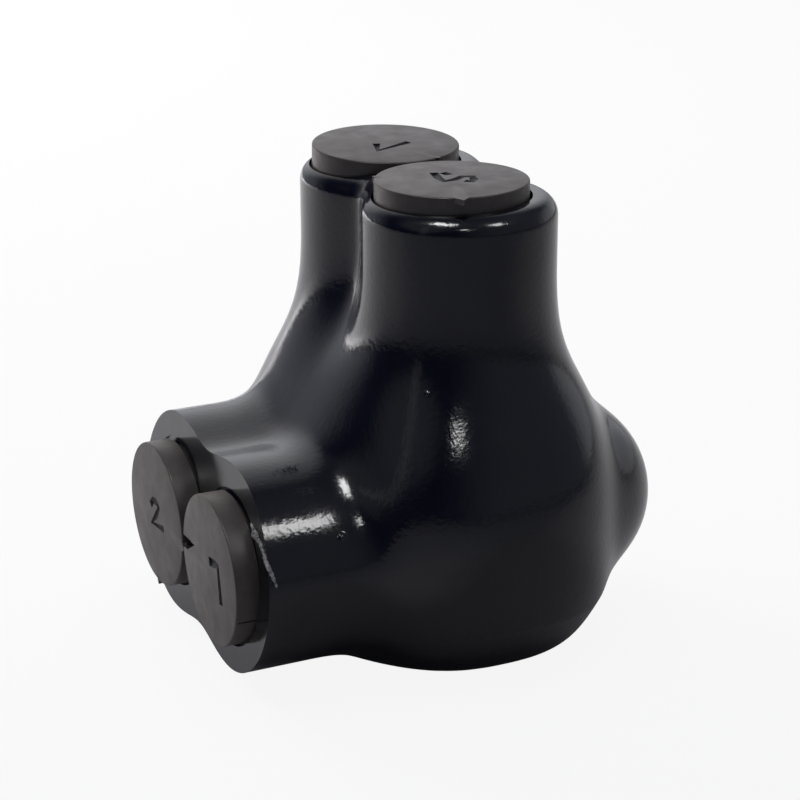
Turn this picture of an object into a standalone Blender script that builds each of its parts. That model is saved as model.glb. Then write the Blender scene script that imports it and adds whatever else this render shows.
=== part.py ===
"""Insulated splice block for two wires, in metres, +Z up.

A metal block with two wire bores and a set screw over each sits inside one dipped
vinyl boot. Both wires enter from -X. Each screw is reached through a chimney that
rises along +Z, and a soft plug closes each port and each chimney. The origin is on
the resting plane, under the middle of the two screw axes.
"""

import math

import bmesh
import bpy
import numpy as np

MM = 0.001
SIDES = {"1": -1, "2": 1}  # port 1 is on the -Y side and port 2 on the +Y side

# Wires and the metal block
BORE_RADIUS = 5.45 * MM
BLOCK_LENGTH = 21.0 * MM
BLOCK_CENTRE_X = 0.9 * MM
BLOCK_SIDE_WALL = 2.05 * MM
BLOCK_FLOOR = 3.55 * MM
THREAD_LENGTH = 7.05 * MM
BLOCK_CORNER = 4.0 * MM
BLOCK_CORNER_SEGMENTS = 5
BORE_MOUTH_CHAMFER = 0.7 * MM
SCREW_HOLE_RUNOUT = 3.0 * MM  # how far the tapped hole goes on below the bore's axis

# Set screws
SCREW_RADIUS = 5.5 * MM
SCREW_LENGTH = 9.5 * MM
SCREW_LIFT = 0.45 * MM  # the tip's height over the bore while the port is empty
SCREW_TOP_CHAMFER = 0.6 * MM
SCREW_POINT_LENGTH = 1.6 * MM
SCREW_POINT_RADIUS = 3.9 * MM
HEX_ACROSS_FLATS = 4.76 * MM
HEX_DEPTH = 5.0 * MM

# Plugs
FLANGE_RADIUS = 7.75 * MM
PLUG_SPACING = 0.5 * MM  # between the two flanges side by side
FLANGE_THICKNESS = 2.7 * MM
FLANGE_EDGE = 0.2 * MM
FLANGE_LIP = 0.75 * MM  # how far the flange stands past the skirt
SKIRT_TAPER = 0.3 * MM
SKIRT_WALL = 1.3 * MM
SKIRT_LENGTH = 8.0 * MM
SKIRT_EDGE = 0.3 * MM

# Clearances
SEAT_GAP = 0.3 * MM
PLUG_GAP = 0.3 * MM
BLOCK_GAP = 0.3 * MM
SCREW_GAP = 0.3 * MM

# The boot: walls and reaches
SKIN_UNDER_BLOCK = 3.0 * MM
CHIMNEY_HEIGHT = 23.2 * MM  # from the block's top
CHIMNEY_WALL = 2.53 * MM
CHIMNEY_SHIFT_X = 0.86 * MM  # the coating is thicker behind the chimneys
CHIMNEY_RIM_ROUND = 2.0 * MM
CHIMNEY_RECESS = 1.44 * MM
PORT_TUBE_LENGTH = 14.9 * MM  # from the block's front to the trimmed end
PORT_TUBE_WALL = 3.4 * MM
PORT_RECESS = 0.7 * MM
PORT_TRIM_LEAN = math.radians(4.2)
TRIM_ALLOWANCE = 7.0 * MM
POCKET_DEPTH = 4.8 * MM
DOME_WALL = 4.45 * MM
DOME_RISE = 2.05 * MM
DOME_SET_BACK = 0.7 * MM
DOME_REACH = 8.0 * MM

# The boot: how far its swollen body stands past the block, and the body's squareness
BODY_PAST_ENDS = 6.4 * MM
BODY_PAST_SIDES = 8.25 * MM
BODY_PAST_TOP = 7.8 * MM
BODY_DROP = 0.4 * MM
BODY_POWER = 2.46
BASE_FLAT = 0.1 * MM  # how much of the sagged underside the resting flat takes off

# The boot: width of the coating's webs where two forms meet
WEB_BASE = 3.0 * MM
WEB_CHIMNEYS = 2.8 * MM
WEB_PORTS = 11.2 * MM
WEB_DOMES = 5.6 * MM
WEB_BODY_CHIMNEYS = 12.6 * MM
WEB_BODY_PORTS = 5.4 * MM
WEB_BODY_DOMES = 3.5 * MM

# Mesh fineness
ROUND_SEGMENTS = 48
ROUGH_SEGMENTS = 32
ROUGH_BALL_SHARE = 0.55  # the rough body's height, kept below the chimneys' shoulders
SKIN_VOXEL = 1.1 * MM
SKIN_FACES = 4600
SKIN_PASSES = 4
SETTLE_STEPS = 3
SETTLE_LEAST_SLOPE = 0.25
RELAX_SHARE = 0.5
RELAX_STEPS = 2
SEAM_SNAP = 0.12 * MM
FIELD_STEP = 0.02 * MM
CUT_MARGIN = 3.0 * MM
MERGE_DISTANCE = 0.001 * MM
SHARP_EDGE = math.radians(32)

# Places that follow from the sizes above
PORT_PITCH = 2 * FLANGE_RADIUS + PLUG_SPACING
SKIRT_RADIUS = FLANGE_RADIUS - FLANGE_LIP
PORT_AXIS_Z = SKIN_UNDER_BLOCK + BLOCK_FLOOR + BORE_RADIUS
BLOCK_BOTTOM = PORT_AXIS_Z - BORE_RADIUS - BLOCK_FLOOR
BLOCK_TOP = PORT_AXIS_Z + BORE_RADIUS + THREAD_LENGTH
BLOCK_HEIGHT = BLOCK_TOP - BLOCK_BOTTOM
BLOCK_MIDDLE_Z = (BLOCK_TOP + BLOCK_BOTTOM) / 2
BLOCK_WIDTH = PORT_PITCH + 2 * (BORE_RADIUS + BLOCK_SIDE_WALL)
BLOCK_FRONT = BLOCK_CENTRE_X - BLOCK_LENGTH / 2
BLOCK_REAR = BLOCK_CENTRE_X + BLOCK_LENGTH / 2
SCREW_HOLE_RADIUS = SCREW_RADIUS + SCREW_GAP
SCREW_TIP_Z = PORT_AXIS_Z + BORE_RADIUS + SCREW_LIFT
TUNNEL_RADIUS = SKIRT_RADIUS + PLUG_GAP
RECESS_RADIUS = FLANGE_RADIUS + PLUG_GAP
CHIMNEY_RADIUS = TUNNEL_RADIUS + CHIMNEY_WALL
CHIMNEY_TOP = BLOCK_TOP + CHIMNEY_HEIGHT
CHIMNEY_SEAT_Z = CHIMNEY_TOP - CHIMNEY_RECESS
PORT_TUBE_RADIUS = TUNNEL_RADIUS + PORT_TUBE_WALL
PORT_TRIM_X = BLOCK_FRONT - PORT_TUBE_LENGTH
PORT_SEAT_X = PORT_TRIM_X + PORT_RECESS
POCKET_RADIUS = BORE_RADIUS + BLOCK_GAP
POCKET_END = BLOCK_REAR + BLOCK_GAP + POCKET_DEPTH
DOME_RADIUS = POCKET_RADIUS + DOME_WALL
DOME_X = BLOCK_REAR + DOME_SET_BACK
DOME_Z = PORT_AXIS_Z + DOME_RISE
BODY_HALF = (
    BLOCK_LENGTH / 2 + BODY_PAST_ENDS,
    BLOCK_WIDTH / 2 + BODY_PAST_SIDES,
    BLOCK_HEIGHT / 2 + BODY_PAST_TOP,
)
BODY_CENTRE = (BLOCK_CENTRE_X, 0.0, BLOCK_MIDDLE_Z - BODY_DROP)

# Finishes: colour, roughness, metallic
VINYL = ("black_vinyl", (0.012, 0.012, 0.016), 0.22, 0.0)
PLUG_PLASTIC = ("plug_plastic", (0.055, 0.050, 0.052), 0.6, 0.0)
ALUMINIUM = ("tinned_aluminium", (0.72, 0.72, 0.70), 0.35, 1.0)
SCREW_METAL = ("screw_aluminium", (0.62, 0.62, 0.60), 0.3, 1.0)


def clear_scene():
    """Remove what a new file holds."""
    for obj in list(bpy.data.objects):
        bpy.data.objects.remove(obj, do_unlink=True)


def collection(name, hidden=False):
    """A new collection in the scene; a hidden one holds cutters."""
    made = bpy.data.collections.new(name)
    made.hide_render = hidden
    bpy.context.scene.collection.children.link(made)
    return made


def material(finish):
    """The Principled material of a finish, made once."""
    name, colour, roughness, metallic = finish
    made = bpy.data.materials.get(name)
    if made:
        return made
    made = bpy.data.materials.new(name)
    made.use_nodes = True
    shader = made.node_tree.nodes["Principled BSDF"]
    shader.inputs["Base Color"].default_value = (*colour, 1.0)
    shader.inputs["Roughness"].default_value = roughness
    shader.inputs["Metallic"].default_value = metallic
    made.diffuse_color = (*colour, 1.0)
    return made


def new_object(name, mesh, group, location=(0, 0, 0), rotation=(0, 0, 0)):
    """An object in its collection, at a place and a turn."""
    obj = bpy.data.objects.new(name, mesh)
    obj.location = location
    obj.rotation_euler = rotation
    group.objects.link(obj)
    return obj


def mesh_from(name, builder):
    """A mesh filled by builder(bm), with its faces pointing out."""
    mesh = bpy.data.meshes.new(name)
    bm = bmesh.new()
    builder(bm)
    bmesh.ops.recalc_face_normals(bm, faces=bm.faces)
    bm.to_mesh(mesh)
    bm.free()
    return mesh


def applied(obj):
    """Turn an object's modifiers into its mesh."""
    graph = bpy.context.evaluated_depsgraph_get()
    mesh = bpy.data.meshes.new_from_object(obj.evaluated_get(graph))
    obj.modifiers.clear()
    obj.data = mesh


def shade_round(obj):
    """Smooth shading that keeps the sharp edges."""
    obj.data.shade_smooth()
    obj.data.set_sharp_from_angle(angle=SHARP_EDGE)


def turned(name, profile, group, location, rotation=(0, 0, 0)):
    """A solid of revolution about local Z, from (radius, height) points, top to bottom."""

    def build(bm):
        points = [bm.verts.new((radius, 0, height)) for radius, height in profile]
        for first, second in zip(points, points[1:]):
            bm.edges.new((first, second))

    mesh = bpy.data.meshes.new(name)
    bm = bmesh.new()
    build(bm)
    bm.to_mesh(mesh)
    bm.free()
    obj = new_object(name, mesh, group, location, rotation)
    screw = obj.modifiers.new("turn", "SCREW")
    screw.axis = "Z"
    screw.steps = ROUND_SEGMENTS
    screw.render_steps = ROUND_SEGMENTS
    screw.use_merge_vertices = True
    screw.merge_threshold = MERGE_DISTANCE
    return obj


def cylinder(name, radius, start, end, group, location, rotation=(0, 0, 0)):
    """A closed cylinder along local Z, from start to end."""
    profile = ((0, end), (radius, end), (radius, start), (0, start))
    return turned(name, profile, group, location, rotation)


def box(name, low, high, group, location=(0, 0, 0), rotation=(0, 0, 0)):
    """A closed box between two corners."""

    def build(bm):
        bmesh.ops.create_cube(bm, size=1.0)
        for vert in bm.verts:
            for axis in range(3):
                share = vert.co[axis] + 0.5
                vert.co[axis] = low[axis] + share * (high[axis] - low[axis])

    return new_object(name, mesh_from(name, build), group, location, rotation)


def boolean(obj, other, operation="DIFFERENCE"):
    """Cut one object with another, or join them."""
    cut = obj.modifiers.new(other.name, "BOOLEAN")
    cut.operation = operation
    cut.solver = "EXACT"
    cut.object = other


def blend_min(first, second, width):
    """The nearer of two distances, with a fillet of this width where they are close."""
    share = np.maximum(width - np.abs(first - second), 0) / width
    return np.minimum(first, second) - share**3 * width / 6


def blend_max(first, second, width):
    """The farther of two distances, with a round edge of this width."""
    return -blend_min(-first, -second, width)


def rod_distance(radial, past_end, radius, rounding):
    """Distance to a round rod with a rolled end."""
    across = radial - (radius - rounding)
    beyond = past_end + rounding
    outside = np.hypot(np.maximum(across, 0), np.maximum(beyond, 0))
    return np.minimum(np.maximum(across, beyond), 0) + outside - rounding


def chimney_distance(x, y, z, side):
    """Distance to a round chimney with a rolled rim."""
    radial = np.hypot(x - CHIMNEY_SHIFT_X, y - side * PORT_PITCH / 2)
    chimney = rod_distance(radial, z - CHIMNEY_TOP, CHIMNEY_RADIUS, CHIMNEY_RIM_ROUND)
    return np.maximum(chimney, PORT_AXIS_Z - z)


def port_distance(x, y, z, side):
    """Distance to a port tube, which runs on past its trimmed end."""
    radial = np.hypot(y - side * PORT_PITCH / 2, z - PORT_AXIS_Z)
    past_end = PORT_TRIM_X - TRIM_ALLOWANCE - x
    tube = rod_distance(radial, past_end, PORT_TUBE_RADIUS, PORT_TUBE_WALL)
    return np.maximum(tube, x - BLOCK_CENTRE_X)


def dome_distance(x, y, z, side):
    """Distance to the round-nosed bulge behind a bore."""
    past = np.maximum(x - DOME_X, 0) + np.minimum(x - DOME_X + DOME_REACH, 0)
    aside = y - side * PORT_PITCH / 2
    return np.sqrt(past**2 + aside**2 + (z - DOME_Z) ** 2) - DOME_RADIUS


def body_distance(x, y, z):
    """Distance to the swollen body round the block, with its underside levelled."""
    offsets = [np.abs(value - centre) for value, centre in zip((x, y, z), BODY_CENTRE)]
    powers = sum((part / half) ** BODY_POWER for part, half in zip(offsets, BODY_HALF))
    reach = powers ** (1 / BODY_POWER) + 1e-9
    length = np.sqrt(sum(part**2 for part in offsets))
    return blend_max(length * (1 - 1 / reach), -(z + BASE_FLAT), WEB_BASE)


def skin_distance(points):
    """Distance to the boot's outer skin, below zero inside."""
    x, y, z = points.T

    def pair(distance, width):
        return blend_min(distance(x, y, z, -1), distance(x, y, z, 1), width)

    skin = body_distance(x, y, z)
    skin = blend_min(skin, pair(chimney_distance, WEB_CHIMNEYS), WEB_BODY_CHIMNEYS)
    skin = blend_min(skin, pair(port_distance, WEB_PORTS), WEB_BODY_PORTS)
    return blend_min(skin, pair(dome_distance, WEB_DOMES), WEB_BODY_DOMES)


def skin_slope(points):
    """The direction in which the distance grows, at each point."""
    slope = np.empty_like(points)
    for axis in range(3):
        step = np.zeros(3)
        step[axis] = FIELD_STEP
        ahead = skin_distance(points + step)
        behind = skin_distance(points - step)
        slope[:, axis] = (ahead - behind) / (2 * FIELD_STEP)
    return slope


def settle(mesh, passes):
    """Move every vertex of a mesh onto the boot's outer skin."""
    points = np.empty(len(mesh.vertices) * 3)
    mesh.vertices.foreach_get("co", points)
    points = points.reshape(-1, 3)
    for _ in range(passes):
        slope = skin_slope(points)
        size = np.maximum((slope**2).sum(1), SETTLE_LEAST_SLOPE)
        points -= slope * (skin_distance(points) / size)[:, None]
    mesh.vertices.foreach_set("co", points.ravel())
    mesh.update()


def rough_form(group):
    """The plain solids under the skin, overlapping, in one mesh."""

    def build(bm):
        def ball():
            return bmesh.ops.create_uvsphere(
                bm, u_segments=ROUGH_SEGMENTS, v_segments=ROUGH_SEGMENTS // 2, radius=1
            )

        def rod():
            return bmesh.ops.create_cone(
                bm, cap_ends=True, segments=ROUGH_SEGMENTS, radius1=1, radius2=1, depth=1
            )

        def placed(made, centre, size):
            for vert in made["verts"]:
                for axis in range(3):
                    vert.co[axis] = centre[axis] + vert.co[axis] * size[axis]

        half_height = BODY_HALF[2] * ROUGH_BALL_SHARE
        middle = (BODY_CENTRE[0], 0, half_height + BASE_FLAT)
        placed(ball(), middle, (BODY_HALF[0], BODY_HALF[1], half_height))
        for side in SIDES.values():
            y = side * PORT_PITCH / 2
            height = CHIMNEY_TOP - PORT_AXIS_Z
            centre = (CHIMNEY_SHIFT_X, y, PORT_AXIS_Z + height / 2)
            placed(rod(), centre, (CHIMNEY_RADIUS, CHIMNEY_RADIUS, height))
            tube = rod()
            for vert in tube["verts"]:
                vert.co.x, vert.co.z = vert.co.z, vert.co.x
            length = BLOCK_CENTRE_X - PORT_TRIM_X + TRIM_ALLOWANCE
            centre = (BLOCK_CENTRE_X - length / 2, y, PORT_AXIS_Z)
            placed(tube, centre, (length, PORT_TUBE_RADIUS, PORT_TUBE_RADIUS))
            size = (DOME_RADIUS, DOME_RADIUS, DOME_RADIUS)
            placed(ball(), (DOME_X - DOME_WALL / 2, y, DOME_Z), size)

    return new_object("skin_form", mesh_from("skin_form", build), group)


def outer_skin(group):
    """The boot's outer form as one smooth closed mesh, symmetric about Y."""
    form = rough_form(group)
    remesh = form.modifiers.new("one_surface", "REMESH")
    remesh.mode = "VOXEL"
    remesh.voxel_size = SKIN_VOXEL
    applied(form)
    for _ in range(SKIN_PASSES):
        settle(form.data, SETTLE_STEPS)
        relax = form.modifiers.new("even_out", "SMOOTH")
        relax.factor = RELAX_SHARE
        relax.iterations = RELAX_STEPS
        applied(form)
    settle(form.data, 2 * SETTLE_STEPS)
    thin = form.modifiers.new("fewer_faces", "DECIMATE")
    thin.ratio = min(1.0, SKIN_FACES / (2 * len(form.data.polygons)))
    applied(form)
    settle(form.data, SETTLE_STEPS)
    keep_half(form.data)
    settle(form.data, SETTLE_STEPS)
    level_seam(form.data)
    mirror = form.modifiers.new("both_sides", "MIRROR")
    mirror.use_axis = (False, True, False)
    mirror.merge_threshold = MERGE_DISTANCE
    applied(form)
    return form


def keep_half(mesh):
    """Cut a mesh at the symmetry plane and keep the +Y half."""
    bm = bmesh.new()
    bm.from_mesh(mesh)
    everything = [*bm.verts, *bm.edges, *bm.faces]
    bmesh.ops.bisect_plane(
        bm,
        geom=everything,
        dist=SEAM_SNAP,
        plane_co=(0, 0, 0),
        plane_no=(0, 1, 0),
        use_snap_center=True,
        clear_inner=True,
    )
    bmesh.ops.triangulate(bm, faces=bm.faces)
    bm.to_mesh(mesh)
    bm.free()


def level_seam(mesh):
    """Set the open edge of a half mesh exactly on the symmetry plane."""
    bm = bmesh.new()
    bm.from_mesh(mesh)
    for vert in bm.verts:
        vert.co.y = 0 if vert.is_boundary else max(vert.co.y, SEAM_SNAP / 2)
    bm.to_mesh(mesh)
    bm.free()


def make_block(parts, cutters):
    """The metal block with its wire bores and screw holes."""
    low = (BLOCK_FRONT, -BLOCK_WIDTH / 2, BLOCK_BOTTOM)
    high = (BLOCK_REAR, BLOCK_WIDTH / 2, BLOCK_TOP)
    block = block_form("connector_block", low, high, BLOCK_CORNER, parts)
    for name, side in SIDES.items():
        y = side * PORT_PITCH / 2
        mouth = BORE_RADIUS + BORE_MOUTH_CHAMFER
        front, rear = BLOCK_FRONT, BLOCK_REAR
        profile = (
            (0, rear + CUT_MARGIN),
            (mouth, rear + CUT_MARGIN),
            (mouth, rear),
            (BORE_RADIUS, rear - BORE_MOUTH_CHAMFER),
            (BORE_RADIUS, front + BORE_MOUTH_CHAMFER),
            (mouth, front),
            (mouth, front - CUT_MARGIN),
            (0, front - CUT_MARGIN),
        )
        along_x = (0, math.pi / 2, 0)
        bore = turned("bore_" + name, profile, cutters, (0, y, PORT_AXIS_Z), along_x)
        boolean(block, bore)
        hole = cylinder(
            "screw_hole_" + name,
            SCREW_HOLE_RADIUS,
            PORT_AXIS_Z - SCREW_HOLE_RUNOUT,
            BLOCK_TOP + CUT_MARGIN,
            cutters,
            (0, y, 0),
        )
        boolean(block, hole)
    return block


def block_form(name, low, high, corner, group):
    """A bar that runs along Y, with the four edges along Y rounded."""
    bar = box(name, low, high, group)
    weight = bar.data.attributes.new("bevel_weight_edge", "FLOAT", "EDGE")
    for edge in bar.data.edges:
        first, second = (bar.data.vertices[index].co for index in edge.vertices)
        if abs(first.y - second.y) > (high[1] - low[1]) / 2:
            weight.data[edge.index].value = 1.0
    bevel = bar.modifiers.new("rounded_edges", "BEVEL")
    bevel.limit_method = "WEIGHT"
    bevel.width = corner
    bevel.segments = BLOCK_CORNER_SEGMENTS
    return bar


def make_screw(name, side, parts, cutters):
    """A socket set screw with a flat point, its origin on its axis at its tip."""
    point_chamfer = SCREW_RADIUS - SCREW_POINT_RADIUS
    profile = (
        (0, SCREW_LENGTH),
        (SCREW_RADIUS - SCREW_TOP_CHAMFER, SCREW_LENGTH),
        (SCREW_RADIUS, SCREW_LENGTH - SCREW_TOP_CHAMFER),
        (SCREW_RADIUS, SCREW_POINT_LENGTH),
        (SCREW_RADIUS - point_chamfer, 0),
        (0, 0),
    )
    place = (0, side * PORT_PITCH / 2, SCREW_TIP_Z)
    screw = turned(name, profile, parts, place)
    radius = HEX_ACROSS_FLATS / (2 * math.cos(math.radians(30)))

    def build(bm):
        bmesh.ops.create_cone(
            bm, cap_ends=True, segments=6, radius1=radius, radius2=radius, depth=1
        )
        for vert in bm.verts:
            high = vert.co.z > 0
            vert.co.z = SCREW_LENGTH + (CUT_MARGIN if high else -HEX_DEPTH)

    key = new_object(name + "_hex", mesh_from(name + "_hex", build), cutters, place)
    boolean(screw, key)
    return screw


def make_plug(name, parts, location, rotation):
    """A plug: a flange with a hollow skirt that runs along local -Z from the origin."""
    tip = SKIRT_RADIUS - SKIRT_TAPER
    inner_top = SKIRT_RADIUS - SKIRT_WALL
    inner_tip = tip - SKIRT_WALL
    profile = (
        (0, FLANGE_THICKNESS),
        (FLANGE_RADIUS - FLANGE_EDGE, FLANGE_THICKNESS),
        (FLANGE_RADIUS, FLANGE_THICKNESS - FLANGE_EDGE),
        (FLANGE_RADIUS, 0),
        (SKIRT_RADIUS, 0),
        (tip, SKIRT_EDGE - SKIRT_LENGTH),
        (tip - SKIRT_EDGE, -SKIRT_LENGTH),
        (inner_tip, -SKIRT_LENGTH),
        (inner_top, 0),
        (0, 0),
    )
    return turned(name, profile, parts, location, rotation)


def make_boot(parts, cutters):
    """The dipped boot: its outer skin, trimmed and hollowed."""
    boot = outer_skin(parts)
    boot.name = "insulating_boot"
    far = 4 * BODY_HALF[1]
    boolean(boot, box("rest_plane", (-far, -far, -far), (far, far, 0), cutters))
    knife = box(
        "port_knife",
        (-far, -far, -far),
        (0, far, far),
        cutters,
        (PORT_TRIM_X, 0, PORT_AXIS_Z),
        (0, PORT_TRIM_LEAN, 0),
    )
    boolean(boot, knife)
    gap = BLOCK_GAP
    low = (BLOCK_FRONT - gap, -BLOCK_WIDTH / 2 - gap, BLOCK_BOTTOM - gap)
    high = (BLOCK_REAR + gap, BLOCK_WIDTH / 2 + gap, BLOCK_TOP + gap)
    boolean(boot, block_form("block_cavity", low, high, BLOCK_CORNER, cutters))
    along_x = (0, math.pi / 2, 0)
    for name, side in SIDES.items():
        y = side * PORT_PITCH / 2
        axis_x = (0, y, PORT_AXIS_Z)
        axis_z = (0, y, 0)
        port_out = PORT_TRIM_X - TRIM_ALLOWANCE - CUT_MARGIN
        port = (
            (0, BLOCK_CENTRE_X),
            (TUNNEL_RADIUS, BLOCK_CENTRE_X),
            (TUNNEL_RADIUS, PORT_SEAT_X),
            (RECESS_RADIUS, PORT_SEAT_X),
            (RECESS_RADIUS, port_out),
            (0, port_out),
        )
        boolean(boot, turned("port_tunnel_" + name, port, cutters, axis_x, along_x))
        chimney_out = CHIMNEY_TOP + CUT_MARGIN
        chimney = (
            (0, chimney_out),
            (RECESS_RADIUS, chimney_out),
            (RECESS_RADIUS, CHIMNEY_SEAT_Z),
            (TUNNEL_RADIUS, CHIMNEY_SEAT_Z),
            (TUNNEL_RADIUS, BLOCK_MIDDLE_Z),
            (0, BLOCK_MIDDLE_Z),
        )
        boolean(boot, turned("chimney_tunnel_" + name, chimney, cutters, axis_z))
        pocket = (
            (0, POCKET_END),
            (POCKET_RADIUS - POCKET_DEPTH / 2, POCKET_END),
            (POCKET_RADIUS, POCKET_END - POCKET_DEPTH / 2),
            (POCKET_RADIUS, BLOCK_CENTRE_X),
            (0, BLOCK_CENTRE_X),
        )
        boolean(boot, turned("rear_pocket_" + name, pocket, cutters, axis_x, along_x))
    return boot


def finish(obj, look):
    """Give a part its material and smooth shading."""
    applied(obj)
    obj.data.materials.clear()
    obj.data.materials.append(material(look))
    shade_round(obj)


def main():
    clear_scene()
    parts = collection("splice_block")
    cutters = collection("splice_block_cutters", hidden=True)
    made = [(make_boot(parts, cutters), VINYL), (make_block(parts, cutters), ALUMINIUM)]
    for name, side in SIDES.items():
        y = side * PORT_PITCH / 2
        screw = make_screw("set_screw_" + name, side, parts, cutters)
        made.append((screw, SCREW_METAL))
        above = (0, y, CHIMNEY_SEAT_Z + SEAT_GAP)
        plug = make_plug("screw_port_plug_" + name, parts, above, (0, 0, 0))
        made.append((plug, PLUG_PLASTIC))
        ahead = (PORT_SEAT_X - SEAT_GAP, y, PORT_AXIS_Z)
        plug = make_plug("wire_port_plug_" + name, parts, ahead, (0, -math.pi / 2, 0))
        made.append((plug, PLUG_PLASTIC))
    for obj in cutters.objects:
        obj.hide_render = True
        obj.display_type = "WIRE"
    for obj, look in made:
        finish(obj, look)


main()
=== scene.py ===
"""The look of the insulated splice block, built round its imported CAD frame."""

import math

import bmesh
import bpy
import numpy as np
from mathutils import Matrix, Vector


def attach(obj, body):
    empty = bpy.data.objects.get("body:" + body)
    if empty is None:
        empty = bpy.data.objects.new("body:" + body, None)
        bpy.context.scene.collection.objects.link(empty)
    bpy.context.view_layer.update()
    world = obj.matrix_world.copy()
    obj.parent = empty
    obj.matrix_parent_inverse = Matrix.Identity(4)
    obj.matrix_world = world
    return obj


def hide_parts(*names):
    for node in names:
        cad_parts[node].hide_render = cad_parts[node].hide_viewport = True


MM = 0.001
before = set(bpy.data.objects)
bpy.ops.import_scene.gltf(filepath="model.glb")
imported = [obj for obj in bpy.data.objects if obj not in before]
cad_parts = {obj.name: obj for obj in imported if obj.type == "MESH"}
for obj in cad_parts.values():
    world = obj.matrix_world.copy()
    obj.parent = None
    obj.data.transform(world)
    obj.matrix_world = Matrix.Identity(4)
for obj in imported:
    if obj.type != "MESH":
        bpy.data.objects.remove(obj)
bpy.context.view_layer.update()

# Sizes shared with the solids, in metres
PITCH = 16.0 * MM
PORT_Z = 12.0 * MM
BLOCK_X = 0.9 * MM
TUNNEL_RADIUS = 7.3 * MM
RECESS_RADIUS = 8.05 * MM
CHIMNEY_RADIUS = 9.83 * MM
CHIMNEY_X = 0.86 * MM
CHIMNEY_TOP = 47.7 * MM
CHIMNEY_ROUND = 2.0 * MM
CHIMNEY_SEAT = 46.26 * MM
PORT_TUBE_RADIUS = 10.7 * MM
PORT_TUBE_WALL = 3.4 * MM
TRIM_X = -24.5 * MM
TRIM_LEAN = math.radians(4.2)
TRIM_ALLOWANCE = 7.0 * MM
PORT_SEAT_X = -23.8 * MM
DOME_RADIUS = 10.2 * MM
DOME_X = 12.1 * MM
DOME_Z = 14.05 * MM
DOME_REACH = 8.0 * MM
BODY_HALF = (16.9 * MM, 23.75 * MM, 18.55 * MM)
BODY_CENTRE = (0.9 * MM, 0.0, 13.35 * MM)
BODY_POWER = 2.46
BASE_FLAT = 0.1 * MM
WEB_BASE = 3.0 * MM
WEB_CHIMNEYS = 2.8 * MM
WEB_CHIMNEYS_PORT_SIDE = 6.5 * MM
WEB_PORTS = 11.2 * MM
WEB_DOMES = 5.6 * MM
WEB_BODY_CHIMNEYS = 12.6 * MM
WEB_BODY_PORTS = 5.4 * MM
WEB_BODY_DOMES = 3.5 * MM
CAVITY_LOW = (-9.9 * MM, -15.8 * MM, 2.7 * MM)
CAVITY_HIGH = (11.7 * MM, 15.8 * MM, 24.8 * MM)
CAVITY_CORNER = 4.0 * MM
POCKET_RADIUS = 5.75 * MM
POCKET_END = 16.5 * MM
POCKET_TAPER = 2.4 * MM
FLANGE_RADIUS = 7.75 * MM
FLANGE_THICKNESS = 2.7 * MM
SEAT_GAP = 0.3 * MM
SKIRT_RADIUS = 7.0 * MM
SKIRT_TAPER = 0.3 * MM
SKIRT_WALL = 1.3 * MM
SKIRT_LENGTH = 8.0 * MM
SCREW_RADIUS = 5.5 * MM
SCREW_LENGTH = 9.5 * MM
SCREW_TIP_Z = 17.9 * MM
HEX_ACROSS_FLATS = 4.76 * MM
HEX_DEPTH = 5.0 * MM
THREAD_PITCH = 1.27 * MM
THREAD_DEPTH = 0.62 * MM

# Finer mesh of the boot
SKIN_VOXEL = 0.5 * MM
FIELD_STEP = 0.02 * MM
ROUND_SEGMENTS = 48
DOME_SEGMENTS = 32
ROUGH_BALL_SHARE = 0.55  # the rough body's height, kept below the chimneys' shoulders
ROUGH_DOME_BACK = 2 * MM
CAVITY_SEGMENTS = 8
SKIN_PASSES = 4
SETTLE_STEPS = 3
SETTLE_LEAST_SLOPE = 0.25
RELAX_SHARE = 0.5
RELAX_STEPS = 3
CUT_MARGIN = 3 * MM
ON_SKIN = 0.02 * MM  # how near the form a point counts as being on it
ALONG_SKIN = 0.8  # least cosine between a face's normal and the form's slope

# Angles above which an edge is shaded sharp
BOOT_SHARP = math.radians(32)
PLUG_SHARP = math.radians(28)
SCREW_SHARP = math.radians(35)

SIDES = {"1": -1, "2": 1}
pieces = bpy.data.collections.new("splice_block_look")
bpy.context.scene.collection.children.link(pieces)


# Shader helpers


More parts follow.
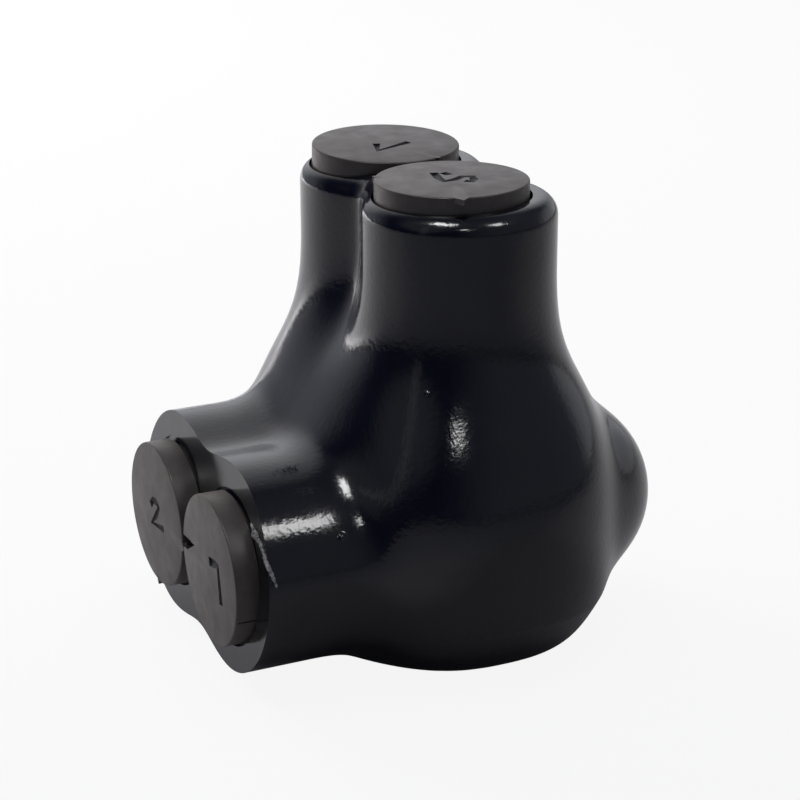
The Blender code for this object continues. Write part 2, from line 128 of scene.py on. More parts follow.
class Shader:
    """A Principled material with short calls for adding nodes."""

    def __init__(self, name):
        self.material = bpy.data.materials.new(name)
        self.material.use_nodes = True
        self.tree = self.material.node_tree
        self.shader = self.tree.nodes["Principled BSDF"]

    def node(self, kind, **settings):
        made = self.tree.nodes.new(kind)
        for key, value in settings.items():
            setattr(made, key, value)
        return made

    def link(self, source, target):
        self.tree.links.new(source, target)

    def noise(self, scale, detail=3.0, roughness=0.5, distortion=0.0):
        where = self.node("ShaderNodeTexCoord")
        made = self.node("ShaderNodeTexNoise")
        made.inputs["Scale"].default_value = scale
        made.inputs["Detail"].default_value = detail
        made.inputs["Roughness"].default_value = roughness
        made.inputs["Distortion"].default_value = distortion
        self.link(where.outputs["Object"], made.inputs["Vector"])
        return made.outputs["Fac"]

    def ramp(self, factor, stops):
        made = self.node("ShaderNodeValToRGB")
        while len(made.color_ramp.elements) < len(stops):
            made.color_ramp.elements.new(0.5)
        for element, (place, colour) in zip(made.color_ramp.elements, stops):
            element.position = place
            element.color = (*colour, 1.0)
        self.link(factor, made.inputs["Fac"])
        return made.outputs["Color"]

    def span(self, factor, low, high, start=0.3, end=0.7):
        made = self.node("ShaderNodeMapRange")
        made.inputs["From Min"].default_value = start
        made.inputs["From Max"].default_value = end
        made.inputs["To Min"].default_value = low
        made.inputs["To Max"].default_value = high
        self.link(factor, made.inputs["Value"])
        return made.outputs["Result"]

    def bumps(self, *layers):
        """Bump from (height, strength, distance) layers, coarse to fine."""
        normal = None
        for height, strength, distance in layers:
            made = self.node("ShaderNodeBump")
            made.inputs["Strength"].default_value = strength
            made.inputs["Distance"].default_value = distance
            self.link(height, made.inputs["Height"])
            if normal:
                self.link(normal, made.inputs["Normal"])
            normal = made.outputs["Normal"]
        self.link(normal, self.shader.inputs["Normal"])

    def set(self, **values):
        for key, value in values.items():
            self.shader.inputs[key.replace("_", " ")].default_value = value


# Small pimples in the coating, as points on the skin in millimetres
PIMPLES = (
    ((-6.6, -16.3, 30.4), 0.45),
    ((-9.4, -16.1, 26.2), 0.40),
    ((2.5, -20.2, 26.5), 0.30),
    ((4.3, -23.1, 9.0), 0.28),
    ((-16.2, -17.3, 17.4), 0.60),
    ((14.5, 12.0, 24.0), 0.35),
    ((8.0, 20.5, 15.0), 0.30),
    ((-18.0, 17.2, 17.0), 0.35),
)


def vinyl():
    """Glossy dipped vinyl: black, a little wavy, with pimples and a fine grain."""
    look = Shader("dipped_vinyl")
    tint = look.ramp(
        look.noise(180, 4),
        [(0.3, (0.0026, 0.0029, 0.0065)), (0.75, (0.0042, 0.0046, 0.0098))],
    )
    look.link(tint, look.shader.inputs["Base Color"])
    haze = look.span(look.noise(260, 6, 0.65), 0.10, 0.18)
    look.link(haze, look.shader.inputs["Roughness"])
    look.set(IOR=1.5)
    where = look.node("ShaderNodeTexCoord")
    pimples = None
    for place, radius in PIMPLES:
        away = look.node("ShaderNodeVectorMath", operation="DISTANCE")
        look.link(where.outputs["Object"], away.inputs[0])
        away.inputs[1].default_value = [value * MM for value in place]
        rise = look.node("ShaderNodeMapRange", interpolation_type="SMOOTHSTEP")
        rise.inputs["From Min"].default_value = radius * MM
        rise.inputs["From Max"].default_value = 0.0
        rise.inputs["To Max"].default_value = radius
        look.link(away.outputs["Value"], rise.inputs["Value"])
        if pimples is None:
            pimples = rise.outputs["Result"]
        else:
            both = look.node("ShaderNodeMath", operation="MAXIMUM")
            look.link(pimples, both.inputs[0])
            look.link(rise.outputs["Result"], both.inputs[1])
            pimples = both.outputs[0]
    look.bumps(
        (look.noise(110, 2, 0.4), 0.20, 0.35 * MM),
        (pimples, 1.0, 0.28 * MM),
        (look.noise(1900, 2, 0.5), 0.45, 0.045 * MM),
    )
    return look.material


def cut_vinyl():
    """The trimmed port end: smooth from the knife, so that it mirrors the plugs."""
    look = Shader("cut_vinyl")
    tint = look.ramp(
        look.noise(700, 5, 0.7),
        [(0.3, (0.005, 0.005, 0.007)), (0.7, (0.012, 0.011, 0.013))],
    )
    look.link(tint, look.shader.inputs["Base Color"])
    look.set(Roughness=0.13, IOR=1.55)
    look.bumps(
        (look.noise(260, 2, 0.4, 0.4), 0.3, 0.1 * MM),
        (look.noise(2600, 3, 0.7), 0.3, 0.02 * MM),
    )
    return look.material


def plug_plastic():
    """Matte moulded plastic of the plugs, scuffed a little paler."""
    look = Shader("plug_plastic")
    tint = look.ramp(
        look.noise(330, 6, 0.65),
        [(0.3, (0.044, 0.037, 0.034)), (0.7, (0.070, 0.060, 0.054))],
    )
    look.link(tint, look.shader.inputs["Base Color"])
    scuffs = look.span(look.noise(500, 4), 0.36, 0.48)
    look.link(scuffs, look.shader.inputs["Roughness"])
    look.set(IOR=1.48)
    look.bumps(
        (look.noise(150, 3, 0.5), 0.25, 0.3 * MM),
        (look.noise(3200, 2, 0.6), 0.25, 0.02 * MM),
    )
    return look.material


def burr_painted_highlight():
    """The ragged burr that the knife left: a real ridge, with pale specks painted as
    the highlight along the lit cut edge.
    """
    look = Shader("burr_painted_highlight")
    # The pale end of this ramp is a painted highlight, not a colour of the coating
    tint = look.ramp(
        look.noise(2400, 3, 0.6),
        [(0.35, (0.04, 0.04, 0.05)), (0.6, (0.45, 0.44, 0.45))],
    )
    look.link(tint, look.shader.inputs["Base Color"])
    look.set(Roughness=0.35)
    look.bumps((look.noise(3500, 2), 0.5, 0.05 * MM))
    return look.material


def recess_painted_shade():
    """The bottom of a sunk digit, notch or split, coloured darker as painted shade in
    the recess.
    """
    look = Shader("recess_painted_shade")
    # Darker than the plug's plastic: painted shade in the recess
    tint = look.ramp(
        look.noise(900, 3),
        [(0.3, (0.006, 0.005, 0.007)), (0.7, (0.014, 0.012, 0.015))],
    )
    look.link(tint, look.shader.inputs["Base Color"])
    look.set(Roughness=0.6)
    look.bumps((look.noise(3000, 2), 0.2, 0.02 * MM))
    return look.material


def metal(name, dark, light, grain_scale, rough):
    """A machined metal with fine tool marks."""
    look = Shader(name)
    where = look.node("ShaderNodeTexCoord")
    stretch = look.node("ShaderNodeMapping")
    stretch.inputs["Scale"].default_value = grain_scale
    look.link(where.outputs["Object"], stretch.inputs["Vector"])
    marks = look.node("ShaderNodeTexNoise")
    marks.inputs["Scale"].default_value = 1.0
    marks.inputs["Detail"].default_value = 4.0
    look.link(stretch.outputs["Vector"], marks.inputs["Vector"])
    grain = marks.outputs["Fac"]
    tint = look.ramp(grain, [(0.3, dark), (0.7, light)])
    look.link(tint, look.shader.inputs["Base Color"])
    look.link(look.span(grain, *rough), look.shader.inputs["Roughness"])
    look.set(Metallic=1.0)
    look.bumps((grain, 0.25, 0.03 * MM))
    return look.material


# Mesh helpers


def new_object(name, mesh, matrix=None):
    obj = bpy.data.objects.new(name, mesh)
    if matrix is not None:
        obj.matrix_world = matrix
    pieces.objects.link(obj)
    return obj


def applied(obj):
    """Turn an object's modifiers into its mesh."""
    graph = bpy.context.evaluated_depsgraph_get()
    mesh = bpy.data.meshes.new_from_object(obj.evaluated_get(graph))
    obj.modifiers.clear()
    obj.data = mesh


def settled_in_place(obj):
    """Put an object's place and turn into its mesh."""
    bpy.context.view_layer.update()
    obj.data.transform(obj.matrix_world)
    obj.matrix_world = Matrix.Identity(4)


def turned(name, profile, matrix=None, steps=96, look=None):
    """A solid of revolution about local Z, from (radius, height) points downwards."""
    mesh = bpy.data.meshes.new(name)
    bm = bmesh.new()
    points = [bm.verts.new((radius, 0, height)) for radius, height in profile]
    for first, second in zip(points, points[1:]):
        bm.edges.new((first, second))
    bm.to_mesh(mesh)
    bm.free()
    obj = new_object(name, mesh, matrix)
    screw = obj.modifiers.new("turn", "SCREW")
    screw.steps = steps
    screw.render_steps = steps
    screw.use_merge_vertices = True
    screw.merge_threshold = 1e-6
    applied(obj)
    if look:
        obj.data.materials.append(look)
    return obj


def cuboid(name, low, high, matrix=None):
    mesh = bpy.data.meshes.new(name)
    bm = bmesh.new()
    bmesh.ops.create_cube(bm, size=1.0)
    for vert in bm.verts:
        for axis in range(3):
            vert.co[axis] = low[axis] + (vert.co[axis] + 0.5) * (high[axis] - low[axis])
    bm.to_mesh(mesh)
    bm.free()
    return new_object(name, mesh, matrix)


def cut(obj, *cutters, crossing=False):
    """Cut an object with others, which are then removed.

    Crossing cutters are ones that meet themselves.
    """
    for other in cutters:
        made = obj.modifiers.new(other.name, "BOOLEAN")
        made.use_self = crossing
        made.operation = "DIFFERENCE"
        made.solver = "EXACT"
        made.material_mode = "TRANSFER"
        made.object = other
    applied(obj)
    for other in cutters:
        bpy.data.objects.remove(other, do_unlink=True)


def without_middles(mesh):
    """Drop the points that a cut left in the middle of edges."""
    bm = bmesh.new()
    bm.from_mesh(mesh)
    middles = [vert for vert in bm.verts if len(vert.link_edges) == 2]
    bmesh.ops.dissolve_verts(bm, verts=middles)
    bm.to_mesh(mesh)
    bm.free()


def join(obj, other):
    """Fuse another solid into an object; the other is then removed."""
    made = obj.modifiers.new(other.name, "BOOLEAN")
    made.operation = "UNION"
    made.solver = "EXACT"
    made.object = other
    applied(obj)
    bpy.data.objects.remove(other, do_unlink=True)


# The boot's outer skin


def blend_min(first, second, width):
    share = np.maximum(width - np.abs(first - second), 0) / width
    return np.minimum(first, second) - share**3 * width / 6


def rod_distance(radial, past_end, radius, rounding):
    across = radial - (radius - rounding)
    beyond = past_end + rounding
    outside = np.hypot(np.maximum(across, 0), np.maximum(beyond, 0))
    return np.minimum(np.maximum(across, beyond), 0) + outside - rounding


def chimney_distance(x, y, z, side):
    radial = np.hypot(x - CHIMNEY_X, y - side * PITCH / 2)
    chimney = rod_distance(radial, z - CHIMNEY_TOP, CHIMNEY_RADIUS, CHIMNEY_ROUND)
    return np.maximum(chimney, PORT_Z - z)


def port_distance(x, y, z, side):
    radial = np.hypot(y - side * PITCH / 2, z - PORT_Z)
    past_end = TRIM_X - TRIM_ALLOWANCE - x
    tube = rod_distance(radial, past_end, PORT_TUBE_RADIUS, PORT_TUBE_WALL)
    return np.maximum(tube, x - BLOCK_X)


def dome_distance(x, y, z, side):
    past = np.maximum(x - DOME_X, 0) + np.minimum(x - DOME_X + DOME_REACH, 0)
    aside = y - side * PITCH / 2
    return np.sqrt(past**2 + aside**2 + (z - DOME_Z) ** 2) - DOME_RADIUS


def body_distance(x, y, z):
    offsets = [np.abs(value - centre) for value, centre in zip((x, y, z), BODY_CENTRE)]
    powers = sum((part / half) ** BODY_POWER for part, half in zip(offsets, BODY_HALF))
    reach = powers ** (1 / BODY_POWER) + 1e-9
    length = np.sqrt(sum(part**2 for part in offsets))
    return -blend_min(-length * (1 - 1 / reach), z + BASE_FLAT, WEB_BASE)


def skin_distance(points):
    """Distance to the boot's outer skin, below zero inside."""
    x, y, z = points.T

    def pair(distance, width):
        return blend_min(distance(x, y, z, -1), distance(x, y, z, 1), width)

    skin = body_distance(x, y, z)
    reach = (-CHIMNEY_RADIUS / 2, CHIMNEY_X)
    web = np.interp(x, reach, (WEB_CHIMNEYS_PORT_SIDE, WEB_CHIMNEYS))
    skin = blend_min(skin, pair(chimney_distance, web), WEB_BODY_CHIMNEYS)
    skin = blend_min(skin, pair(port_distance, WEB_PORTS), WEB_BODY_PORTS)
    return blend_min(skin, pair(dome_distance, WEB_DOMES), WEB_BODY_DOMES)


def skin_slope(points):
    slope = np.empty_like(points)
    for axis in range(3):
        step = np.zeros(3)
        step[axis] = FIELD_STEP
        slope[:, axis] = skin_distance(points + step) - skin_distance(points - step)
    return slope / (2 * FIELD_STEP)


def vertex_array(mesh):
    points = np.empty(len(mesh.vertices) * 3)
    mesh.vertices.foreach_get("co", points)
    return points.reshape(-1, 3)


def settle(mesh, passes):
    """Move every vertex of a mesh onto the boot's outer skin."""
    points = vertex_array(mesh)
    for _ in range(passes):
        slope = skin_slope(points)
        size = np.maximum((slope**2).sum(1), SETTLE_LEAST_SLOPE)
        points -= slope * (skin_distance(points) / size)[:, None]
    mesh.vertices.foreach_set("co", points.ravel())
    mesh.update()


def rough_form():
    """The plain solids under the skin, overlapping, in one mesh."""
    mesh = bpy.data.meshes.new("boot_skin")
    bm = bmesh.new()

    def placed(made, centre, size):
        for vert in made["verts"]:
            for axis in range(3):
                vert.co[axis] = centre[axis] + vert.co[axis] * size[axis]

    def rod():
        return bmesh.ops.create_cone(
            bm, cap_ends=True, segments=ROUND_SEGMENTS, radius1=1, radius2=1, depth=1
        )

    ball = bmesh.ops.create_uvsphere(
        bm, u_segments=ROUND_SEGMENTS, v_segments=DOME_SEGMENTS, radius=1
    )
    half_height = BODY_HALF[2] * ROUGH_BALL_SHARE
    placed(
        ball,
        (BODY_CENTRE[0], 0, half_height + BASE_FLAT),
        (BODY_HALF[0], BODY_HALF[1], half_height),
    )
    for side in SIDES.values():
        y = side * PITCH / 2
        height = CHIMNEY_TOP - PORT_Z
        placed(
            rod(),
            (CHIMNEY_X, y, PORT_Z + height / 2),
            (CHIMNEY_RADIUS, CHIMNEY_RADIUS, height),
        )
        tube = rod()
        for vert in tube["verts"]:
            vert.co.x, vert.co.z = vert.co.z, vert.co.x
        length = BLOCK_X - TRIM_X + TRIM_ALLOWANCE
        placed(
            tube,
            (BLOCK_X - length / 2, y, PORT_Z),
            (length, PORT_TUBE_RADIUS, PORT_TUBE_RADIUS),
        )
        dome = bmesh.ops.create_uvsphere(
            bm,
            u_segments=DOME_SEGMENTS,
            v_segments=DOME_SEGMENTS // 2,
            radius=DOME_RADIUS,
        )
        placed(dome, (DOME_X - ROUGH_DOME_BACK, y, DOME_Z), (1, 1, 1))
    bmesh.ops.recalc_face_normals(bm, faces=bm.faces)
    bm.to_mesh(mesh)
    bm.free()
    return new_object("boot_skin", mesh)


def block_cavity():
    bar = cuboid("cavity", CAVITY_LOW, CAVITY_HIGH)
    weight = bar.data.attributes.new("bevel_weight_edge", "FLOAT", "EDGE")
    for edge in bar.data.edges:
        first, second = (bar.data.vertices[index].co for index in edge.vertices)
        if abs(first.y - second.y) > CAVITY_HIGH[1]:
            weight.data[edge.index].value = 1.0
    bevel = bar.modifiers.new("rounded_edges", "BEVEL")
    bevel.limit_method = "WEIGHT"
    bevel.width = CAVITY_CORNER
    bevel.segments = CAVITY_SEGMENTS
    applied(bar)
    return bar


def make_boot(skin_look, cut_look):
    """The boot: its outer skin, trimmed and hollowed."""
    boot = rough_form()
    remesh = boot.modifiers.new("one_surface", "REMESH")
    remesh.mode = "VOXEL"
    remesh.voxel_size = SKIN_VOXEL * 1
    applied(boot)
    for _ in range(SKIN_PASSES):
        settle(boot.data, SETTLE_STEPS)
        relax = boot.modifiers.new("even_out", "SMOOTH")
        relax.factor = RELAX_SHARE
        relax.iterations = RELAX_STEPS
        applied(boot)
    settle(boot.data, 2 * SETTLE_STEPS)
    boot.data.materials.clear()
    boot.data.materials.append(skin_look)
    boot.data.materials.append(cut_look)
    far = 4 * BODY_HALF[1]
    knife_place = Matrix.Translation((TRIM_X, 0, PORT_Z)) @ Matrix.Rotation(
        TRIM_LEAN, 4, "Y"
    )
    knife = cuboid("port_knife", (-far, -far, -far), (0, far, far), knife_place)
    knife.data.materials.append(cut_look)
    cutters = [
        cuboid("rest_plane", (-far, -far, -far), (far, far, 0)),
        knife,
        block_cavity(),
    ]
    for name, side in SIDES.items():
        y = side * PITCH / 2
        out = TRIM_X - TRIM_ALLOWANCE - CUT_MARGIN
        over = CHIMNEY_TOP + CUT_MARGIN
        port = (
            (0, BLOCK_X),
            (TUNNEL_RADIUS, BLOCK_X),
            (TUNNEL_RADIUS, PORT_SEAT_X),
            (RECESS_RADIUS, PORT_SEAT_X),
            (RECESS_RADIUS, out),
            (0, out),
        )
        chimney = (
            (0, over),
            (RECESS_RADIUS, over),
            (RECESS_RADIUS, CHIMNEY_SEAT),
            (TUNNEL_RADIUS, CHIMNEY_SEAT),
            (TUNNEL_RADIUS, PORT_Z),
            (0, PORT_Z),
        )
        pocket = (
            (0, POCKET_END),
            (POCKET_RADIUS - POCKET_TAPER, POCKET_END),
            (POCKET_RADIUS, POCKET_END - POCKET_TAPER),
            (POCKET_RADIUS, BLOCK_X),
            (0, BLOCK_X),
        )
        along_x = Matrix.Translation((0, y, PORT_Z)) @ Matrix.Rotation(
            math.pi / 2, 4, "Y"
        )
        along_z = Matrix.Translation((0, y, 0))
        cutters.append(turned("port_tunnel_" + name, port, along_x))
        cutters.append(turned("chimney_tunnel_" + name, chimney, along_z))
        cutters.append(turned("rear_pocket_" + name, pocket, along_x))
    cut(boot, *cutters)
    without_middles(boot.data)
    true_normals(boot)
    return boot


def true_normals(boot):
    """Shade the outer skin by the slope of its form, and the rest by its faces."""
    mesh = boot.data
    mesh.shade_smooth()
    mesh.set_sharp_from_angle(angle=BOOT_SHARP)
    mesh.update()
    points = vertex_array(mesh)
    slope = skin_slope(points)
    slope /= np.linalg.norm(slope, axis=1)[:, None]
    on_skin = np.abs(skin_distance(points)) < ON_SKIN
    loops = np.empty(len(mesh.loops), dtype=np.int64)
    mesh.loops.foreach_get("vertex_index", loops)
    normals = np.array([normal.vector[:] for normal in mesh.corner_normals])
    for face in mesh.polygons:
        span = slice(face.loop_start, face.loop_start + face.loop_total)
        corners = loops[span]
        if not on_skin[corners].all():
            continue
        middle = slope[corners].mean(0)
        if np.dot(middle, face.normal) > ALONG_SKIN * np.linalg.norm(middle):
            normals[span] = slope[corners]
    mesh.normals_split_custom_set(normals.tolist())


# The burr along the cut of the front port, point by point: distance from the tube's
# axis and how far past the cut, in millimetres, the angle up from -Y, and the thickness
BURR = (
    (8.4, 0.05, 52, 0.12),
    (8.8, 0.08, 46, 0.22),
    (9.0, 0.12, 42, 0.40),
    (9.3, 0.05, 38, 0.22),
    (9.8, 0.05, 34, 0.24),
    (10.2, 0.05, 28, 0.22),
    (10.6, 0.05, 23, 0.24),
    (10.8, -0.30, 17, 0.20),
    (10.8, -0.70, 11, 0.12),
)
BURR_STEPS = 60
BURR_WAVER = 0.05


def make_burr(look):
    """A ragged thread of torn coating on the cut face of the front port."""
    curve = bpy.data.curves.new("burr", "CURVE")
    curve.dimensions = "3D"
    curve.bevel_depth = 1 * MM
    curve.bevel_resolution = 2
    curve.use_fill_caps = True
    line = curve.splines.new("POLY")
    line.points.add(BURR_STEPS - 1)
    for index, point in enumerate(line.points):
        along = index / (BURR_STEPS - 1) * (len(BURR) - 1)
        radius, past, angle, thick = (
            float(np.interp(along, range(len(BURR)), values)) for values in zip(*BURR)
        )
        ragged = math.sin(2.1 * index) + 0.8 * math.sin(3.7 * index + 1)
        angle = math.radians(angle)
        radius += BURR_WAVER * ragged
        up = radius * math.sin(angle)
        x = TRIM_X / MM + up * math.tan(TRIM_LEAN) - past
        y = -PITCH / MM / 2 - radius * math.cos(angle)
        point.co = (x * MM, y * MM, PORT_Z + up * MM, 1)
        swell = 0.3 * math.sin(1.3 * index) * math.cos(2.9 * index)
        point.radius = thick * (1 + swell)
    helper = new_object("burr_curve", curve)
    graph = bpy.context.evaluated_depsgraph_get()
    mesh = bpy.data.meshes.new_from_object(helper.evaluated_get(graph))
    bpy.data.objects.remove(helper, do_unlink=True)
    mesh.materials.clear()
    mesh.materials.append(look)
    mesh.shade_smooth()
    return new_object("cut_burr", mesh)


# Plugs

PLUG_STEPS = 128
FACE_INSET = 0.02 * MM
FACE_EDGE = 0.16 * MM
UNDER_EDGE = 0.12 * MM
SKIRT_EDGE = 0.3 * MM
SKIRT_ROOT = 0.4 * MM

# Wire plug 1: the notch in its rim, as corners from the face's centre in millimetres
NOTCH = ((-8.4, 0.9), (-8.4, -0.5), (-6.5, -0.3), (-4.2, 1.05), (-6.2, 1.05))
NOTCH_DEPTH = 1.3 * MM

# Wire plug 1: a fine split down its flange, as an angle in degrees and millimetres
SPLIT_ANGLE = -21
SPLIT_WIDTH = 0.14
SPLIT_DEPTH = 0.3
SPLIT_BELOW_FACE = 0.25 * MM

# Cavity digits as strokes on each plug's face, in millimetres from its centre
DIGITS = {
    "wire_1": [[(0.1, 1.05), (1.4, 1.35), (2.65, 1.55), (3.3, -2.45)]],
    "wire_2": [
        [
            (-1.55, 0.55),
            (-0.8, 1.3),
            (0.2, 1.5),
            (0.95, 1.05),
            (0.0, -0.2),
            (-1.4, -1.45),
            (2.3, -0.9),
        ]
    ],
    "screw_1": [
        [(0.25, 2.6), (0.5, 1.5)],
        [
            (-0.55, 3.0),
            (-1.1, 0.8),
            (-1.15, -0.7),
            (0.0, -0.5),
            (1.3, 0.3),
            (2.2, -0.1),
            (1.9, -1.15),
            (1.25, -1.9),
            (0.75, -1.4),
        ],
    ],
    "screw_2": [[(-1.0, 0.1), (-2.0, -2.5), (2.4, -0.6)]],
}
DIGIT_WIDTH = {"wire_1": 1.00, "wire_2": 0.85, "screw_1": 0.90, "screw_2": 0.85}
DIGIT_DEPTH = 0.26 * MM

# Torn gate nibs: angle round the face in degrees, width and reach in millimetres
NIBS = {
    "wire_1": [],
    "wire_2": [(-6, 1.0, 0.65), (-91, 0.5, 0.45)],
    "screw_1": [(-109, 1.5, 1.0), (148, 0.5, 0.2)],
    "screw_2": [(-70, 0.6, 0.2)],
}
NIB_THICKNESS = 0.55 * MM

# How each plug sits: turns about its face's own axes in degrees, and its lift
SEATING = {
    "wire_1": (0.0, 0.0, 0.0),
    "wire_2": (0.0, 1.5, 0.20),
    "screw_1": (-0.3, 0.0, 0.05),
    "screw_2": (2.2, 0.0, 0.30),
}


def digit_cutter(name, label, height, look):
    """Round-bottomed strokes across a plug's face, in the plug's own axes."""
    half = DIGIT_WIDTH[label] * MM / 2
    radius = (half**2 + DIGIT_DEPTH**2) / (2 * DIGIT_DEPTH)
    curve = bpy.data.curves.new(name, "CURVE")
    curve.dimensions = "3D"
    curve.bevel_depth = radius
    curve.bevel_resolution = 4
    curve.use_fill_caps = True
    for stroke in DIGITS[label]:
        line = curve.splines.new("POLY")
        line.points.add(len(stroke) - 1)
        for point, (x, y) in zip(line.points, stroke):
            point.co = (x * MM, y * MM, height + radius - DIGIT_DEPTH, 1)
    helper = new_object(name + "_curve", curve)
    graph = bpy.context.evaluated_depsgraph_get()
    mesh = bpy.data.meshes.new_from_object(helper.evaluated_get(graph))
    bpy.data.objects.remove(helper, do_unlink=True)
    made = new_object(name, mesh)
    made.data.materials.clear()
    made.data.materials.append(look)
    return made


def wedge(name, corners, low, high, look):
    """A flat prism between two heights, from its corners in millimetres."""
    bm = bmesh.new()
    rings = [
        [bm.verts.new((x * MM, y * MM, height)) for x, y in corners]
        for height in (low, high)
    ]
    bm.faces.new(list(reversed(rings[0])))
    bm.faces.new(rings[1])
    for index in range(len(corners)):
        after = (index + 1) % len(corners)
        low_side = (rings[0][index], rings[0][after])
        bm.faces.new((*low_side, rings[1][after], rings[1][index]))
    bmesh.ops.recalc_face_normals(bm, faces=bm.faces)
    mesh = bpy.data.meshes.new(name)
    bm.to_mesh(mesh)
    bm.free()
    mesh.materials.append(look)
    return new_object(name, mesh)


def nib(name, angle, width, reach, top, look):
    """A torn sliver of plastic that stands past the rim of a plug's face."""
    rim = FLANGE_RADIUS / MM
    turn = Matrix.Rotation(math.radians(angle), 2)
    shape = (
        (rim - 0.5, -width / 2),
        (rim - 0.03, -width / 2),
        (rim + 0.45 * reach, -0.22 * width),
        (rim + reach, 0.05 * width),
        (rim + 0.4 * reach, 0.3 * width),
        (rim - 0.03, width / 2),
        (rim - 0.5, width / 2),
    )
    corners = [turn @ Vector(corner) for corner in shape]
    return wedge(name, corners, top - NIB_THICKNESS, top + FACE_INSET, look)


def make_plug(name, matrix, label, looks):
    """A hollow plug with a sunk digit and the torn nibs of its moulding gate."""
    top = FLANGE_THICKNESS - FACE_INSET
    rounded = [
        (
            FLANGE_RADIUS - FACE_EDGE + FACE_EDGE * math.sin(angle),
            top - FACE_EDGE + FACE_EDGE * math.cos(angle),
        )
        for angle in np.linspace(0, math.pi / 2, 5)
    ]
    tip = SKIRT_RADIUS - SKIRT_TAPER
    profile = [
        (0, top),
        *rounded,
        (FLANGE_RADIUS, UNDER_EDGE),
        (FLANGE_RADIUS - UNDER_EDGE, 0),
        (SKIRT_RADIUS, 0),
        (tip, SKIRT_EDGE - SKIRT_LENGTH),
        (tip - SKIRT_EDGE, -SKIRT_LENGTH),
        (tip - SKIRT_WALL, -SKIRT_LENGTH),
        (SKIRT_RADIUS - SKIRT_WALL, -SKIRT_ROOT),
        (SKIRT_RADIUS - SKIRT_WALL - SKIRT_ROOT, 0),
        (0, 0),
    ]
    plug = turned(name, profile, steps=PLUG_STEPS, look=looks["plug"])
    plug.data.materials.append(looks["digit"])
    for index, (angle, width, reach) in enumerate(NIBS[label]):
        sliver = nib(f"{name}_nib_{index}", angle, width, reach, top, looks["plug"])
        join(plug, sliver)
    # The sunk digit's faces take the dark recess colour, which is painted shade
    digit = digit_cutter(name + "_digit", label, top, looks["digit"])
    cut(plug, digit, crossing=True)
    if label == "wire_1":
        # The notch and the split also take the dark recess colour, which is painted
        # shade
        notch_floor = top - NOTCH_DEPTH
        cut(plug, wedge("notch", NOTCH, notch_floor, top + MM, looks["digit"]))
        turn = Matrix.Rotation(math.radians(SPLIT_ANGLE), 2)
        rim = FLANGE_RADIUS / MM
        groove = (
            (rim + 0.2, -SPLIT_WIDTH),
            (rim + 0.2, SPLIT_WIDTH),
            (rim - SPLIT_DEPTH, 0),
        )
        corners = [turn @ Vector(corner) for corner in groove]
        split_top = top - SPLIT_BELOW_FACE
        cut(plug, wedge("split", corners, -MM, split_top, looks["digit"]))
    plug.data.shade_smooth()
    plug.data.set_sharp_from_angle(angle=PLUG_SHARP)
    about_x, about_y, lift = SEATING[label]
    seated = (
        Matrix.Translation((0, 0, lift * MM))
        @ Matrix.Rotation(math.radians(about_x), 4, "X")
        @ Matrix.Rotation(math.radians(about_y), 4, "Y")
    )
    plug.matrix_world = matrix @ seated
    settled_in_place(plug)
    return plug


# Set screws

ROWS_PER_TURN = 10
STEPS_AROUND = 72
CREST_GAIN = 1.25  # above 1 this flattens the thread's crests
POINT_CHAMFER = 1.6 * MM
TOP_CHAMFER = 0.7 * MM
TOP_CHAMFER_SLOPE = 1.2
SOCKET_CONE = 1.2 * MM


def make_screw(name, side, look):
    """A socket set screw with a real helical thread."""
    rows = int(SCREW_LENGTH / THREAD_PITCH * ROWS_PER_TURN)
    bm = bmesh.new()
    rings = []
    for row in range(rows + 1):
        z = SCREW_LENGTH * row / rows
        point = SCREW_RADIUS - POINT_CHAMFER + z
        top = SCREW_RADIUS - TOP_CHAMFER + (SCREW_LENGTH - z) * TOP_CHAMFER_SLOPE
        ring = []
        for step in range(STEPS_AROUND):
            turn = step / STEPS_AROUND
            phase = (z / THREAD_PITCH - turn) % 1.0
            rise = 1 - abs(2 * phase - 1)
            crest = min(1.0, rise * CREST_GAIN)
            thread = SCREW_RADIUS - THREAD_DEPTH * (1 - crest)
            radius = min(thread, point, top)
            angle = 2 * math.pi * turn
            across = (radius * math.cos(angle), radius * math.sin(angle))
            ring.append(bm.verts.new((*across, z)))
        rings.append(ring)
    for low, high in zip(rings, rings[1:]):
        for step in range(STEPS_AROUND):
            after = (step + 1) % STEPS_AROUND
            bm.faces.new((low[step], low[after], high[after], high[step]))
    bm.faces.new(list(reversed(rings[0])))
    bm.faces.new(rings[-1])
    bmesh.ops.recalc_face_normals(bm, faces=bm.faces)
    mesh = bpy.data.meshes.new(name)
    bm.to_mesh(mesh)
    bm.free()
    place = Matrix.Translation((0, side * PITCH / 2, SCREW_TIP_Z))
    screw = new_object(name, mesh)
    screw.data.materials.append(look)
    radius = HEX_ACROSS_FLATS / math.sqrt(3)
    socket = (
        (0, SCREW_LENGTH + MM),
        (radius, SCREW_LENGTH + MM),
        (radius, SCREW_LENGTH - HEX_DEPTH),
        (0, SCREW_LENGTH - HEX_DEPTH - SOCKET_CONE),
    )
    cut(screw, turned(name + "_socket", socket, steps=6))
    screw.data.shade_smooth()
    screw.data.set_sharp_from_angle(angle=SCREW_SHARP)
    screw.matrix_world = place
    settled_in_place(screw)
    return screw


